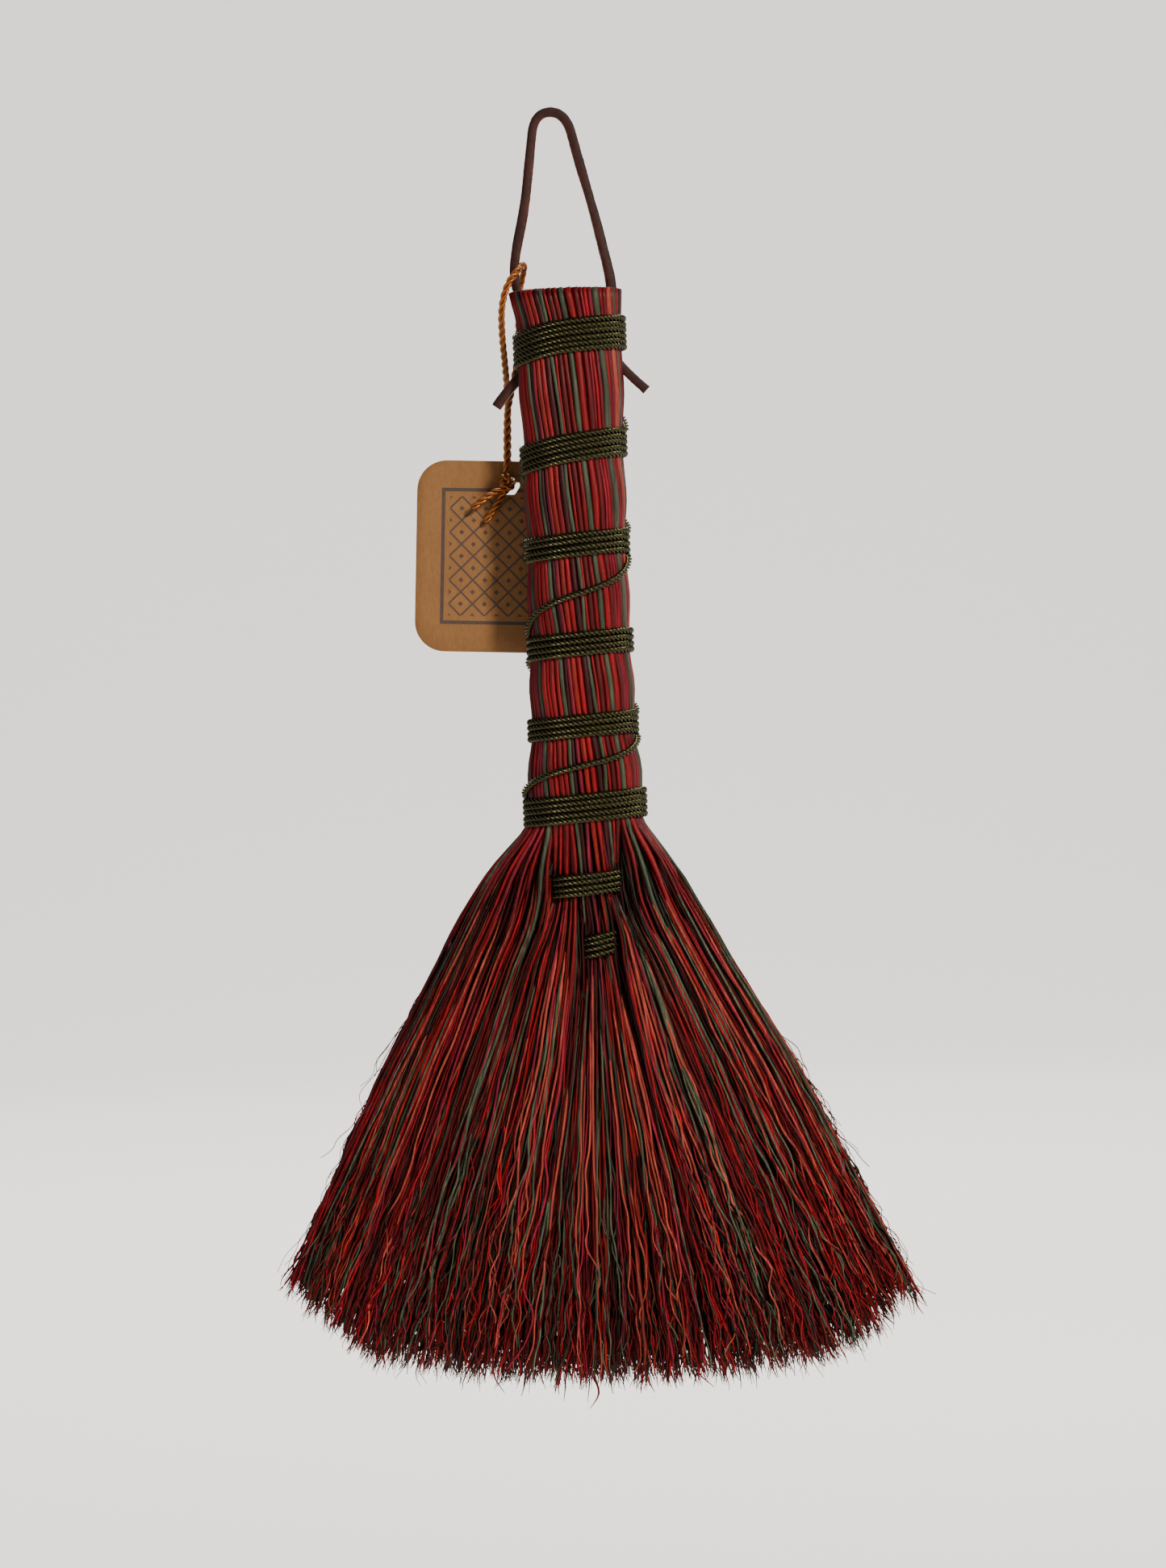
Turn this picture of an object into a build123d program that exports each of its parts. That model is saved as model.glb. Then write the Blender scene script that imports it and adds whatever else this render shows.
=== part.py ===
from build123d import *

import math
import os
from collections import namedtuple

# A hand broom of dyed broomcorn. Five bundles of stalks are bound into a flat-topped handle by six ties of
# twisted cord and fan out below it; two more ties step down the middle of the fan. A leather lace, caught
# under the first tie, makes the hanging loop, and a paper tag hangs from the lace on a doubled twisted cord.
#
# Millimetres. The origin is where the lace loop rests on its nail. +Z is up and the front faces -Y.
# Round the handle, angles are measured from +X towards +Y, so 0 is the right side, 90 the back and 180 the left.

# ---------------------------------------------------------------- driving dimensions

CORD = 1.5  # diameter of the binding cord
CORD_REST = CORD / 2 + 0.15  # from the stalks' surface to the middle of a cord that lies on them
POINTS_PER_TURN = 12
STEP_ANGLE = 360 / POINTS_PER_TURN

HANDLE_X = 3.0  # the handle's axis
HANDLE_TOP = Vector(HANDLE_X, 0, -49.0)
HANDLE_TOP_WIDTH = 31.0
HANDLE_DEPTH = 24.0
WAIST_DEPTH = 21.6  # where a tie pulls the stalks in

Tie = namedtuple("Tie", "x z width depth pitch start sweep")

# Each tie's middle, the width and depth of the stalks inside it, the rise of one turn, the angle at which
# its first turn starts and how far it winds. The cord winds down the handle, from the right over the front.
TIES = [
    Tie(HANDLE_X, -62.4, 28.7, WAIST_DEPTH, 1.6, 90, 2100),
    Tie(HANDLE_X, -93.8, 27.1, WAIST_DEPTH, 1.62, 0, 1620),
    Tie(HANDLE_X, -121.3, 26.7, WAIST_DEPTH, 1.75, 0, 1440),
    Tie(HANDLE_X, -148.3, 26.9, WAIST_DEPTH, 1.75, 180, 1440),
    Tie(HANDLE_X, -172.0, 28.1, WAIST_DEPTH, 1.62, 0, 1440),
    Tie(HANDLE_X - 0.2, -194.3, 31.7, WAIST_DEPTH, 1.62, 180, 1890),
    Tie(2.0, -216.0, 19.4, 18.0, 1.62, 90, 1440),
    Tie(5.4, -233.0, 10.5, 13.0, 1.62, 90, 1440),
]
HANDLE_TIES = TIES[:6]
BULGE_WIDTHS = [30.4, 30.0, 29.8, 30.4, 33.0]  # the handle's width half way from each tie to the next

Section = namedtuple("Section", "x z width depth")

FAN_SECTIONS = [
    Section(1.6, -216, 58, 25),
    Section(1.0, -236, 81, 25),
    Section(1.0, -268, 117, 24),
    Section(1.0, -301, 150, 22),
    Section(1.0, -333, 178, 20),
    Section(1.0, -362, 200, 19),
]
INNER_FAN_SECTIONS = [
    Section(3.0, -237, 40, 22),
    Section(3.0, -268, 64, 22),
    Section(7.0, -362, 124, 19),
]
CORE_FAN_SECTIONS = [
    Section(6.5, -262, 24, 20),
    Section(9.0, -362, 64, 19),
]

# The fan's lower edge, from its left corner to its right one, and how far the fan reaches beyond it.
FAN_EDGE = [(-91, -328), (-62, -348.5), (10, -357), (64, -352.5), (92, -336)]
FAN_REACH = 110
BELOW_FAN = -362

# Where each bundle is parted from the next, as (x, z) from the top of the handle to below the fan. The
# outlines stand clear of ties 7 and 8, which bind only the inner bundles.
ABOVE_HANDLE = -45
CORE_LEFT = [(-0.5, ABOVE_HANDLE), (-0.5, -199), (0.1, -229), (0.1, -237), (-4, -262), (-22, BELOW_FAN)]
CORE_RIGHT = [(6.5, ABOVE_HANDLE), (6.5, -199), (8, -216), (10.7, -229), (10.7, -237), (17, -262), (38, BELOW_FAN)]
FLANK_LEFT_INNER = [(-0.8, ABOVE_HANDLE), (-0.8, -220), (-2.6, -228), (-2.6, -238), (-5, -262), (-23, BELOW_FAN)]
FLANK_LEFT_OUTER = [(-6, ABOVE_HANDLE), (-6, -199), (-7.7, -212), (-7.7, -220), (-16, -237), (-27, -268),
                    (-53, BELOW_FAN)]
FLANK_RIGHT_INNER = [(6.8, ABOVE_HANDLE), (6.8, -199), (8.3, -216), (9.0, -220), (13.4, -228), (13.4, -238),
                     (18, -262), (39, BELOW_FAN)]
FLANK_RIGHT_OUTER = [(12, ABOVE_HANDLE), (12, -199), (11.7, -212), (11.7, -220), (22, -237), (33, -268),
                     (66, BELOW_FAN)]
OUTER_LEFT_INNER = [(-6.3, ABOVE_HANDLE), (-6.3, -199), (-10.5, -211), (-10.5, -221), (-16.5, -237), (-27.5, -268),
                    (-54, BELOW_FAN)]
OUTER_RIGHT_INNER = [(12.3, ABOVE_HANDLE), (12.3, -199), (14.5, -211), (14.5, -221), (22.5, -237), (33.5, -268),
                     (67, BELOW_FAN)]

# The lace is one strip, bent in one upright plane. It runs from its left end up under the first tie, over the
# nail and down under the tie again.
LACE_Y = 2.0
LACE_THICK = 2.4
LACE_WIDE = 3.0
LACE_CORNER = 0.7
LACE_GROOVE = 0.4  # room left round the lace where it is pressed into the stalks
LACE_END_LEFT = [(-18.3, -80.8), (-14.6, -75.8), (-9.8, -71.2), (-8.9, -62.0), (-9.5, -53.5), (-12.3, -44.8),
                 (-11.3, -36.9)]
LACE_LOOP = [(-8.5, -25.6), (-6.5, -10.9), (-4.9, 1.9), (4.1, 1.9), (7.1, -11.4), (11.0, -26.3)]
LACE_END_RIGHT = [(13.5, -37.8), (15.5, -47.5), (14.8, -57.5), (14.9, -67.6), (19.2, -72.7), (24.2, -77.4)]
LACE_GAP = 0.3  # between the loop, which stays on the nail, and the ends, which move with the broom
GROOVE_BOTTOM = -76.5

# The tag's cord comes up from the knot in front of the card, goes round the back of the left strap and
# over it, and comes down again behind the card to the hole.
TAG_CORD = 2.2
TAG_CORD_ROUTE = [
    (-16.3, 11.7, -98.9),
    (-15.9, 11.7, -93.5),
    (-15.8, 11.2, -87.5),
    (-15.3, 10.1, -80.5),
    (-13.6, 9.3, -74.5),
    (-11.9, 9.4, -67.0),
    (-11.2, 9.3, -58.0),
    (-11.4, 8.7, -50.5),
    (-9.8, 6.2, -43.9),
    (-8.9, 2.0, -40.4),
    (-10.6, -2.0, -42.4),
    (-14.0, -2.3, -46.6),
    (-15.9, -0.4, -52.5),
    (-16.1, 2.6, -60.0),
    (-15.6, 7.4, -68.0),
    (-15.2, 12.7, -76.0),
    (-15.4, 16.0, -84.5),
    (-15.7, 17.3, -93.0),
    (-15.9, 16.9, -99.3),
    (-15.9, 14.8, -102.4),
]
KNOT_CENTRE = Vector(-16.3, 11.4, -102.2)
KNOT_WIDTH = 5.2
KNOT_HEIGHT = 6.0
TAIL_UPPER = [(-17.4, 10.1, -103.2), (-20.2, 10.1, -104.4), (-23.3, 10.5, -106.2), (-26.3, 11.2, -108.6)]
TAIL_LOWER = [(-16.9, 12.7, -104.0), (-18.6, 12.5, -106.6), (-20.6, 12.1, -109.7), (-22.7, 12.4, -112.6)]

TAG_WIDTH = 53.0
TAG_HEIGHT = 54.5
TAG_THICK = 0.8
TAG_CORNER = 8.5
TAG_HOLE = 6.0
TAG_HOLE_BELOW_TOP = 7.0
TAG_LEAN = 3.0  # degrees; the card's foot is to the left
TAG_FRONT = Vector(-16.4, 14.4, -122.5)

LEAST_RUN_SHARE = 0.45  # of the shorter run at a bend, taken up by its arc


# ---------------------------------------------------------------- cords

def bend_radii(points):
    """The largest arc that the runs on both sides of each bend leave room for."""
    radii = []
    for before, here, after in zip(points, points[1:], points[2:]):
        turn = (here - before).get_angle(after - here)
        shorter = min((here - before).length, (after - here).length)
        radii.append(LEAST_RUN_SHARE * shorter / math.tan(math.radians(turn / 2)))
    return radii


def cord_path(name, points):
    """Straight runs through the points, joined by arcs."""
    points = [Vector(*point) for point in points]
    radii = bend_radii(points)
    with BuildLine() as line:
        FilletPolyline(*points, radius=radii)
    path = line.wire()
    print(f"{name}: {path.length:.1f} mm, bends {', '.join(f'{radius:.1f}' for radius in radii[:24])}")
    return path


def start_of(path, x_dir=None):
    """The plane square to a path at its start."""
    return Plane(origin=path @ 0, x_dir=x_dir, z_dir=path % 0)


def middle(first, second):
    return (Vector(*first) + Vector(*second)) / 2


def shorten(end, towards, length):
    """A route's end, moved along its last run."""
    return Vector(*end) + (Vector(*towards) - Vector(*end)).normalized() * length


def print_fill(name, part, section, length):
    print(f"{name}: volume {part.volume:.1f}, section x length {section * length:.1f}")


# ---------------------------------------------------------------- the stalks' outer form

def tie_span(tie):
    """Half the height of a tie, from its middle to the outside of its last turn."""
    return (tie.pitch * tie.sweep / 360 + CORD) / 2


def waist(tie):
    """The stalks' section at the top and at the bottom of a tie."""
    return [Section(tie.x, tie.z + side * tie_span(tie), tie.width, tie.depth) for side in (1, -1)]


def handle_sections():
    sections = [Section(HANDLE_TOP.X, HANDLE_TOP.Z, HANDLE_TOP_WIDTH, HANDLE_DEPTH)]
    for number, tie in enumerate(HANDLE_TIES):
        sections += waist(tie)
        if number < len(BULGE_WIDTHS):
            below = HANDLE_TIES[number + 1]
            sections.append(Section(tie.x, (tie.z + below.z) / 2, BULGE_WIDTHS[number], HANDLE_DEPTH))
    return sections


HANDLE_SECTIONS = handle_sections()


def bundle_form(sections):
    """A solid of elliptical sections, one above the other."""
    with BuildPart() as form:
        for section in sections:
            with BuildSketch(Plane(origin=(section.x, 0, section.z))):
                Ellipse(section.width / 2, section.depth / 2)
        loft(ruled=True)
    return form.part


def half_sizes(z):
    """The stalks' middle, half width and half depth at a height on the handle."""
    for above, below in zip(HANDLE_SECTIONS, HANDLE_SECTIONS[1:]):
        if above.z >= z >= below.z:
            share = (above.z - z) / (above.z - below.z)
            return (
                above.x + (below.x - above.x) * share,
                (above.width + (below.width - above.width) * share) / 2,
                (above.depth + (below.depth - above.depth) * share) / 2,
            )
    raise ValueError(f"no handle at {z}")


def fan_outline():
    """The front view of the whole bunch, closed by the fan's lower edge."""
    left, right = FAN_EDGE[0], FAN_EDGE[-1]
    with BuildSketch(Plane.XZ) as outline:
        with BuildLine():
            Spline(*FAN_EDGE)
            Polyline(right, (FAN_REACH, right[1] + 1), (FAN_REACH, ABOVE_HANDLE), (-FAN_REACH, ABOVE_HANDLE),
                     (-FAN_REACH, left[1] + 1), left)
        make_face()
    return outline.sketch


def strip_outline(left, right):
    """The front view of one bundle, between the lines that part it from its neighbours."""
    with BuildSketch(Plane.XZ) as outline:
        with BuildLine():
            Polyline(*left, *reversed(right), close=True)
        make_face()
    return outline.sketch


FAN_OUTLINE = fan_outline()
FAR_LEFT = [(-FAN_REACH, ABOVE_HANDLE), (-FAN_REACH, BELOW_FAN)]
FAR_RIGHT = [(FAN_REACH, ABOVE_HANDLE), (FAN_REACH, BELOW_FAN)]
WHOLE_FORM = bundle_form(HANDLE_SECTIONS + FAN_SECTIONS)
INNER_FORM = bundle_form(HANDLE_SECTIONS + waist(TIES[6]) + INNER_FAN_SECTIONS)
CORE_FORM = bundle_form(HANDLE_SECTIONS + waist(TIES[6]) + waist(TIES[7]) + CORE_FAN_SECTIONS)

os.makedirs("parts", exist_ok=True)

# ---------------------------------------------------------------- bundles of stalks

with BuildPart() as centre_bundle:
    add(CORE_FORM)
    extrude(FAN_OUTLINE, amount=HANDLE_DEPTH, both=True, mode=Mode.INTERSECT)
    extrude(strip_outline(CORE_LEFT, CORE_RIGHT), amount=HANDLE_DEPTH, both=True, mode=Mode.INTERSECT)
centre_bundle.part.label = "centre_bundle"
export_step(centre_bundle.part, "parts/centre_bundle.step")

FLANKS = {
    "flank_bundle_left": (FLANK_LEFT_OUTER, FLANK_LEFT_INNER),
    "flank_bundle_right": (FLANK_RIGHT_INNER, FLANK_RIGHT_OUTER),
}
for label, (left_edge, right_edge) in FLANKS.items():
    with BuildPart() as flank_bundle:
        add(INNER_FORM)
        extrude(FAN_OUTLINE, amount=HANDLE_DEPTH, both=True, mode=Mode.INTERSECT)
        extrude(strip_outline(left_edge, right_edge), amount=HANDLE_DEPTH, both=True, mode=Mode.INTERSECT)
    flank_bundle.part.label = label
    export_step(flank_bundle.part, f"parts/{label}.step")

# The lace lies in a groove at each side of the handle, where the first tie presses it into the stalks.
groove_half = LACE_THICK / 2 + LACE_GROOVE
OUTER = {
    "outer_bundle_left": (FAR_LEFT, OUTER_LEFT_INNER, LACE_END_LEFT[3][0] + groove_half, Align.MAX),
    "outer_bundle_right": (OUTER_RIGHT_INNER, FAR_RIGHT, LACE_END_RIGHT[3][0] - groove_half, Align.MIN),
}
for label, (left_edge, right_edge, groove_x, groove_side) in OUTER.items():
    with BuildPart() as outer_bundle:
        add(WHOLE_FORM)
        extrude(FAN_OUTLINE, amount=HANDLE_DEPTH, both=True, mode=Mode.INTERSECT)
        extrude(strip_outline(left_edge, right_edge), amount=HANDLE_DEPTH, both=True, mode=Mode.INTERSECT)
        with BuildSketch(Plane(origin=(groove_x, LACE_Y, GROOVE_BOTTOM))):
            Rectangle(HANDLE_DEPTH, LACE_WIDE + 2 * LACE_GROOVE, align=(groove_side, Align.CENTER))
        extrude(amount=ABOVE_HANDLE - GROOVE_BOTTOM, mode=Mode.SUBTRACT)
    outer_bundle.part.label = label
    export_step(outer_bundle.part, f"parts/{label}.step")


# ---------------------------------------------------------------- binding cord

def ring_point(x, half_width, half_depth, angle, z):
    """A corner of the polygon that a cord's turns follow round an elliptical section."""
    corner = 1 / math.cos(math.radians(STEP_ANGLE / 2))
    return Vector(
        x + (half_width + CORD_REST) * corner * math.cos(math.radians(angle)),
        (half_depth + CORD_REST) * corner * math.sin(math.radians(angle)),
        z,
    )


def tie_points(tie):
    """The turns of one tie, from its top to its bottom."""
    steps = round(tie.sweep / STEP_ANGLE)
    top = tie.z + tie.pitch * tie.sweep / 720
    points = []
    for step in range(steps + 1):
        z = top - tie.pitch * step / POINTS_PER_TURN
        points.append(ring_point(tie.x, tie.width / 2, tie.depth / 2, tie.start - step * STEP_ANGLE, z))
    return points


def crossing_points(above, below):
    """The cord's way over the bulging stalks, from the end of one tie to the start of the next."""
    first = above.z - above.pitch * above.sweep / 720
    last = below.z + below.pitch * below.sweep / 720
    end_angle = above.start - above.sweep
    steps = round((end_angle - below.start) % 360 / STEP_ANGLE)
    points = []
    for step in range(1, steps):
        z = first + (last - first) * step / steps
        x, half_width, half_depth = half_sizes(z)
        points.append(ring_point(x, half_width, half_depth, end_angle - step * STEP_ANGLE, z))
    return points


# Ties and crossings are one cord on the handle, parted half way along the run between them.
TURNS = [tie_points(tie) for tie in TIES]
CROSSINGS = [crossing_points(above, below) for above, below in zip(HANDLE_TIES, HANDLE_TIES[1:])]
for number, turns in enumerate(TURNS):
    label = f"tie_{number + 1}"
    points = list(turns)
    if 0 < number < len(HANDLE_TIES):
        points.insert(0, middle(CROSSINGS[number - 1][-1], turns[0]))
    if number < len(CROSSINGS):
        points.append(middle(turns[-1], CROSSINGS[number][0]))
    tie_path = cord_path(label, points)
    with BuildPart() as tie_cord:
        with BuildSketch(start_of(tie_path)) as cord_section:
            Circle(CORD / 2)
        sweep(path=tie_path)
    print_fill(label, tie_cord.part, cord_section.sketch.area, tie_path.length)
    tie_cord.part.label = label
    export_step(tie_cord.part, f"parts/{label}.step")

for number, crossing in enumerate(CROSSINGS):
    label = f"crossing_{number + 1}_{number + 2}"
    first_end = middle(TURNS[number][-1], crossing[0])
    last_end = middle(crossing[-1], TURNS[number + 1][0])
    crossing_path = cord_path(label, [first_end, *crossing, last_end])
    with BuildPart() as crossing_cord:
        with BuildSketch(start_of(crossing_path)) as cord_section:
            Circle(CORD / 2)
        sweep(path=crossing_path)
    print_fill(label, crossing_cord.part, cord_section.sketch.area, crossing_path.length)
    crossing_cord.part.label = label
    export_step(crossing_cord.part, f"parts/{label}.step")


# ---------------------------------------------------------------- leather lace

def in_lace_plane(points):
    return [Vector(x, LACE_Y, z) for x, z in points]


lace_left = in_lace_plane(LACE_END_LEFT)
lace_top = in_lace_plane(LACE_LOOP)
lace_right = in_lace_plane(LACE_END_RIGHT)
left_parting = middle(lace_left[-1], lace_top[0])
right_parting = middle(lace_top[-1], lace_right[0])
LACE_PIECES = {
    "lace_loop": [left_parting, *lace_top, right_parting],
    "lace_end_left": [*lace_left, shorten(left_parting, lace_left[-1], LACE_GAP)],
    "lace_end_right": [shorten(right_parting, lace_right[0], LACE_GAP), *lace_right],
}
for label, points in LACE_PIECES.items():
    lace_path = cord_path(label, points)
    with BuildPart() as lace_piece:
        with BuildSketch(start_of(lace_path, x_dir=(0, 1, 0))) as lace_section:
            RectangleRounded(LACE_WIDE, LACE_THICK, LACE_CORNER)
        sweep(path=lace_path)
    print_fill(label, lace_piece.part, lace_section.sketch.area, lace_path.length)
    lace_piece.part.label = label
    export_step(lace_piece.part, f"parts/{label}.step")

# ---------------------------------------------------------------- tag and its cord

tag_cord_path = cord_path("tag_cord", TAG_CORD_ROUTE)
with BuildPart() as tag_cord:
    with BuildSketch(start_of(tag_cord_path)) as tag_cord_section:
        Circle(TAG_CORD / 2)
    sweep(path=tag_cord_path)
print_fill("tag_cord", tag_cord.part, tag_cord_section.sketch.area, tag_cord_path.length)
tag_cord.part.label = "tag_cord"
export_step(tag_cord.part, "parts/tag_cord.step")

with BuildPart() as tag_cord_knot:
    with BuildSketch(Plane(origin=KNOT_CENTRE, x_dir=(1, 0, 0), z_dir=(0, -1, 0))):
        Ellipse(KNOT_WIDTH / 2, KNOT_HEIGHT / 2)
        Rectangle(KNOT_WIDTH, KNOT_HEIGHT, align=(Align.MAX, Align.CENTER), mode=Mode.SUBTRACT)
    revolve(axis=Axis(KNOT_CENTRE, (0, 0, 1)))
tag_cord_knot.part.label = "tag_cord_knot"
export_step(tag_cord_knot.part, "parts/tag_cord_knot.step")

upper_path = cord_path("upper tail", TAIL_UPPER)
lower_path = cord_path("lower tail", TAIL_LOWER)
with BuildPart() as tag_cord_tails:
    with BuildSketch(start_of(upper_path)):
        Circle(TAG_CORD / 2)
    sweep(path=upper_path)
    with BuildSketch(start_of(lower_path)):
        Circle(TAG_CORD / 2)
    sweep(path=lower_path)
tag_cord_tails.part.label = "tag_cord_tails"
export_step(tag_cord_tails.part, "parts/tag_cord_tails.step")

# The card stands upright behind the handle and leans by TAG_LEAN in its own plane.
lean = math.radians(TAG_LEAN)
card_plane = Plane(origin=TAG_FRONT, x_dir=(math.cos(lean), 0, -math.sin(lean)), z_dir=(0, -1, 0))
with BuildPart() as hang_tag:
    with BuildSketch(card_plane):
        RectangleRounded(TAG_WIDTH, TAG_HEIGHT, TAG_CORNER)
        with Locations((0, TAG_HEIGHT / 2 - TAG_HOLE_BELOW_TOP)):
            Circle(TAG_HOLE / 2, mode=Mode.SUBTRACT)
    extrude(amount=-TAG_THICK)
hang_tag.part.label = "hang_tag"
export_step(hang_tag.part, "parts/hang_tag.step")
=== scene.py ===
import math
from collections import namedtuple

import bpy
import numpy as np
from mathutils import Matrix, Vector


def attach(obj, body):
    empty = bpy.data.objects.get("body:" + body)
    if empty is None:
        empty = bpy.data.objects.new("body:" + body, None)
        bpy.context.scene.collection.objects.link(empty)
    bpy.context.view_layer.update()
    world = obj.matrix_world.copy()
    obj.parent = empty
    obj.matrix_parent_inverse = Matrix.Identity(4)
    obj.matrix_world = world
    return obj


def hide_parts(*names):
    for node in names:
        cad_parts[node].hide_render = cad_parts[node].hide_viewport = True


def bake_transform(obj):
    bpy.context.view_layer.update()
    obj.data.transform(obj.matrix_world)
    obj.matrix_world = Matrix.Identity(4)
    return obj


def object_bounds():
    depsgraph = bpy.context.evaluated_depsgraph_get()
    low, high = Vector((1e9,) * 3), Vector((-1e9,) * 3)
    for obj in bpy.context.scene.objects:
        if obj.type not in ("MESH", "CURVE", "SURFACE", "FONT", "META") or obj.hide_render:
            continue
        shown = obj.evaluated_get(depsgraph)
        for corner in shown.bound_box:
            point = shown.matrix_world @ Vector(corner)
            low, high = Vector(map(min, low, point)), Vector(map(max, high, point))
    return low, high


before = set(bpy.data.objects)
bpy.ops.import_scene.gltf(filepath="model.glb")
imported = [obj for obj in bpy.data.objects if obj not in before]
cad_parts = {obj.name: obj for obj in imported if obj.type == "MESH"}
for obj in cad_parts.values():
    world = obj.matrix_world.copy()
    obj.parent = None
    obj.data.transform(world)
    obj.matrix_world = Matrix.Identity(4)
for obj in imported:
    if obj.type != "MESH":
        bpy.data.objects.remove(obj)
cad_low, cad_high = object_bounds()

# A hand broom of dyed broomcorn: single stalks and fibres, twisted cord, leather lace and card tag.
# Lengths are in millimetres, in the part's frame: the origin is on the nail, +Z is up, the front faces -Y.
# Angles round the handle go from +X, its right side, towards +Y, its back.

MM = 0.001
rng = np.random.default_rng(11)

# ---- camera

TARGET = (2.4, -187.9)  # x and z of the point that the camera looks at
CAMERA_AWAY = 1300.0
FRAME_HEIGHT = 441.8  # what the view spans at the broom
ROLL = 2.0  # degrees; the broom hangs a little askew in the view
SENSOR = 36.0

camera_data = bpy.data.cameras.new("camera")
camera_data.sensor_fit = "VERTICAL"
camera_data.sensor_height = SENSOR
camera_data.lens = SENSOR * CAMERA_AWAY / FRAME_HEIGHT
camera_data.clip_end = 50
camera = bpy.data.objects.new("camera", camera_data)
bpy.context.scene.collection.objects.link(camera)
camera.matrix_world = (
    Matrix.Translation((TARGET[0] * MM, -CAMERA_AWAY * MM, TARGET[1] * MM))
    @ Matrix.Rotation(math.radians(ROLL), 4, "Y")
    @ Matrix.Rotation(math.radians(90), 4, "X")
)
bpy.context.scene.camera = camera

# ---- cords' routes, as in the CAD model
# The tag cord's two tails start further in here, inside the knot.

LACE_Y = 2.0
LACE_ROUTE = [(-18.3, -80.8), (-14.6, -75.8), (-9.8, -71.2), (-8.9, -62.0), (-9.5, -53.5), (-12.3, -44.8),
              (-11.3, -36.9), (-8.5, -25.6), (-6.5, -10.9), (-4.9, 1.9), (4.1, 1.9), (7.1, -11.4),
              (11.0, -26.3), (13.5, -37.8), (15.5, -47.5), (14.8, -57.5), (14.9, -67.6), (19.2, -72.7),
              (24.2, -77.4)]
TAG_CORD_ROUTE = [(-16.3, 11.7, -98.9), (-15.9, 11.7, -93.5), (-15.8, 11.2, -87.5), (-15.3, 10.1, -80.5),
                  (-13.6, 9.3, -74.5), (-11.9, 9.4, -67.0), (-11.2, 9.3, -58.0), (-11.4, 8.7, -50.5),
                  (-9.8, 6.2, -43.9), (-8.9, 2.0, -40.4), (-10.6, -2.0, -42.4), (-14.0, -2.3, -46.6),
                  (-15.9, -0.4, -52.5), (-16.1, 2.6, -60.0), (-15.6, 7.4, -68.0), (-15.2, 12.7, -76.0),
                  (-15.4, 16.0, -84.5), (-15.7, 17.3, -93.0), (-15.9, 16.9, -99.3), (-15.9, 14.8, -102.4)]
TAIL_UPPER = [(-16.2, 10.4, -102.6), (-17.8, 10.0, -103.4), (-20.2, 10.1, -104.4), (-23.3, 10.5, -106.2),
              (-26.3, 11.2, -108.6)]
TAIL_LOWER = [(-16.0, 12.4, -102.6), (-16.9, 12.7, -104.0), (-18.6, 12.5, -106.6), (-20.6, 12.1, -109.7),
              (-22.7, 12.4, -112.6)]


def spline_of(route):
    """Points along the smooth line that has the route's points as its control points."""
    curve = bpy.data.curves.new("route", "CURVE")
    curve.dimensions = "3D"
    spline = curve.splines.new("NURBS")
    spline.points.add(len(route) - 1)
    for point, place in zip(spline.points, route):
        point.co = (*place, 1)
    spline.order_u = 3
    spline.use_endpoint_u = True
    spline.resolution_u = 24
    holder = bpy.data.objects.new("route", curve)
    mesh = bpy.data.meshes.new_from_object(holder)
    line = np.array([vertex.co for vertex in mesh.vertices], float)
    bpy.data.meshes.remove(mesh)
    bpy.data.curves.remove(curve)
    return line


def length_along(line):
    return np.concatenate([[0], np.cumsum(np.linalg.norm(np.diff(line, axis=0), axis=1))])


def resample(line, step):
    """The line's points again, about step apart."""
    along = length_along(line)
    at = np.linspace(0, along[-1], max(2, round(along[-1] / step) + 1))
    return np.stack([np.interp(at, along, line[:, axis]) for axis in range(3)], axis=1)


def unit(vectors):
    return vectors / np.maximum(np.linalg.norm(vectors, axis=-1, keepdims=True), 1e-9)


def tangents(lines):
    """Directions along lines held as (..., points, 3)."""
    return unit(np.gradient(lines, axis=-2))


def circle(sides):
    return np.arange(sides) * 2 * math.pi / sides


# ---- meshes

def fill(elements, field, values, kind=np.float32):
    elements.foreach_set(field, values.astype(kind).ravel())


def build_mesh(name, vertices, quads, caps, tint=None, uv=None, uv_name="OFBake"):
    """A mesh object from arrays: vertices in mm, quads, end caps, a colour for each vertex and a map."""
    mesh = bpy.data.meshes.new(name)
    mesh.vertices.add(len(vertices))
    fill(mesh.vertices, "co", vertices * MM)
    loops = quads.ravel()
    starts = np.arange(len(quads)) * 4
    if len(caps):
        starts = np.concatenate([starts, len(loops) + np.arange(len(caps)) * caps.shape[1]])
        loops = np.concatenate([loops, caps.ravel()])
    mesh.loops.add(len(loops))
    fill(mesh.loops, "vertex_index", loops, np.int32)
    mesh.polygons.add(len(starts))
    fill(mesh.polygons, "loop_start", starts, np.int32)
    mesh.update(calc_edges=True)
    mesh.shade_smooth()
    if tint is not None:
        layer = mesh.color_attributes.new("tint", "FLOAT_COLOR", "POINT")
        fill(layer.data, "color", np.column_stack([tint, np.ones(len(tint))]))
    if uv is not None:
        fill(mesh.uv_layers.new(name=uv_name).data, "uv", uv)
    piece = bpy.data.objects.new(name, mesh)
    bpy.context.scene.collection.objects.link(piece)
    return piece


def tube_faces(strands, rings, sides):
    """Quads and end caps of tubes whose vertices lie strand by strand and ring by ring."""
    ring, side = np.meshgrid(np.arange(rings - 1), np.arange(sides), indexing="ij")
    after = (side + 1) % sides
    quads = np.stack([ring * sides + side, ring * sides + after, (ring + 1) * sides + after,
                      (ring + 1) * sides + side], axis=-1).reshape(-1, 4)
    caps = np.stack([np.arange(sides)[::-1], (rings - 1) * sides + np.arange(sides)])
    base = (np.arange(strands) * rings * sides)[:, None, None]
    return (quads[None] + base).reshape(-1, 4), (caps[None] + base).reshape(-1, sides)


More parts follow.
